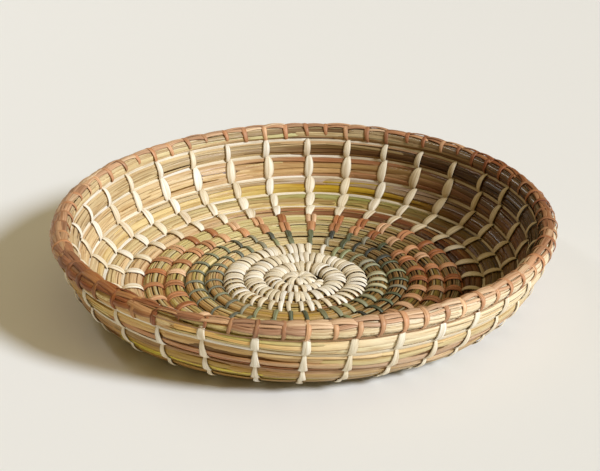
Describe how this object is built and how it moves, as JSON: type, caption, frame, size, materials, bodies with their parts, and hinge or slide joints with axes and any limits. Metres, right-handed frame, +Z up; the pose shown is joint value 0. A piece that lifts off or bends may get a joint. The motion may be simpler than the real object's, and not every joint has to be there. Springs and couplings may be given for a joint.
{
  "type": "coiled basket",
  "caption": "Shallow round open basket of coiled flax leaf bundles, sewn round by round with cream, terracotta and grey-green strands; holds bread, fruit or small things.",
  "frame": {"origin": "on the ground under the middle of the rim", "axes": "+Z up; -Y is the pictured front; the coil winds clockwise outwards as seen from above"},
  "size_m": [0.3043, 0.3044, 0.0544],
  "materials": {
    "straw": "dry flax leaf, satin",
    "honey": "dry flax leaf, satin",
    "olive": "dry flax leaf, satin",
    "brown": "dry flax leaf, satin",
    "umber": "dry flax leaf, satin",
    "cream": "bleached split leaf, matte",
    "rust": "dyed split leaf, matte",
    "green": "dyed split leaf, matte"
  },
  "bodies": {
    "root": {"centre_knot": "cream", "centre_bundle": "straw", "green_band_bundle": "honey", "rust_band_bundle": "olive", "wall_bundle_1": "brown", "wall_bundle_2": "olive", "wall_bundle_3": "honey", "wall_bundle_4": "brown", "wall_bundle_5": "straw", "rim_bundle": "umber", "centre_strand_01": "cream", "centre_strand_02": "cream", "green_strand_01": "green", "green_strand_02": "green", "green_strand_03": "green", "green_strand_04": "green", "rust_strand_01": "rust", "rust_strand_02": "rust", "rust_strand_03": "rust", "rust_strand_04": "rust", "rust_strand_05": "rust", "wall_strand_01": "cream", "wall_strand_02": "cream", "wall_strand_03": "cream", "wall_strand_04": "cream", "wall_strand_05": "cream", "wall_strand_06": "cream", "wall_strand_07": "cream", "wall_strand_08": "cream", "wall_strand_09": "cream", "wall_strand_10": "cream", "rim_strand_01": "rust", "rim_strand_02": "rust", "rim_strand_03": "rust", "rim_strand_04": "rust"}
  },
  "joints": []
}
